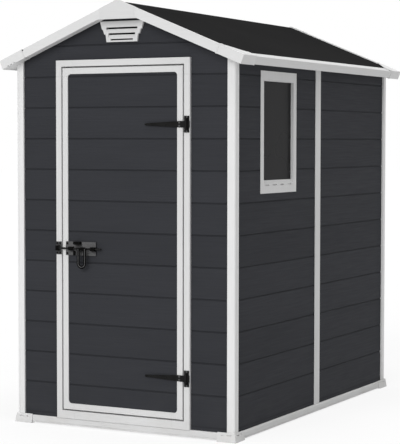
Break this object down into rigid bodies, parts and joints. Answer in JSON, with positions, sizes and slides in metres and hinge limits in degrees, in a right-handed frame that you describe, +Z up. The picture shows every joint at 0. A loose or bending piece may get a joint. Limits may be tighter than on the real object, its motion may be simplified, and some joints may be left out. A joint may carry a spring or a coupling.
{
  "type": "garden shed",
  "caption": "Garden shed with an apex roof, boarded walls, white corner posts and trims, a side window, a gable vent, and a hinged door with strap hinges and a sliding pad bolt.",
  "frame": {"origin": "on the ground, under the middle of the shed", "axes": "+Z up, -Y out of the front with the door, +X towards the side with the window"},
  "size_m": [1.2822, 1.9168, 1.9684],
  "materials": {
    "cladding": "anthracite grey resin with a fine wood grain moulded in",
    "trim": "white resin with a fine wood grain moulded in",
    "roofing": "charcoal black resin, plain and matt",
    "pane": "clear acrylic sheet, dark against the unlit inside",
    "hardware": "black coated steel, slightly worn"
  },
  "bodies": {
    "shed": {"floor_panel": "cladding", "base_rail_front": "trim", "base_rail_back": "trim", "base_rail_left": "trim", "base_rail_right": "trim", "base_corners": "trim", "front_wall_left": "cladding", "front_wall_right": "cladding", "front_gable": "cladding", "back_wall": "cladding", "right_wall_front": "cladding", "right_wall_back": "cladding", "left_wall_front": "cladding", "left_wall_back": "cladding", "post_front_left": "trim", "post_front_right": "trim", "post_back_left": "trim", "post_back_right": "trim", "mid_post_left": "trim", "mid_post_right": "trim", "window_frame": "trim", "window_pane": "pane", "door_jamb_left": "trim", "door_jamb_right": "trim", "door_head": "trim", "door_threshold": "trim", "hinge_plates": "hardware", "bolt_keep": "hardware", "roof_panel_left": "roofing", "roof_panel_right": "roofing", "eave_trim_left": "trim", "eave_trim_right": "trim", "verge_front_left": "trim", "verge_front_right": "trim", "verge_back_left": "trim", "verge_back_right": "trim", "peak_cap_front": "trim", "peak_cap_back": "trim", "roof_corner_caps": "trim", "vent_louvre": "trim"},
    "door": {"door_panel": "cladding", "door_border": "trim", "hinge_straps": "hardware", "bolt_plate": "hardware"},
    "bolt": {"bolt_rod": "hardware"},
    "hasp": {"bolt_hasp": "hardware"}
  },
  "joints": [
    {"name": "door_hinge", "type": "hinge", "parent": "shed", "child": "door", "pos_m": [0.3375, -0.9245, 0.87], "axis": [0, 0, 1], "range_deg": [0, 150]},
    {"name": "bolt_slide", "type": "slide", "parent": "door", "child": "bolt", "axis": [-1, 0, 0], "range_m": [0, 0.035]},
    {"name": "hasp_turn", "type": "hinge", "parent": "bolt", "child": "hasp", "pos_m": [-0.201, -0.927, 0.835], "axis": [-1, 0, 0], "range_deg": [0, 100]}
  ]
}
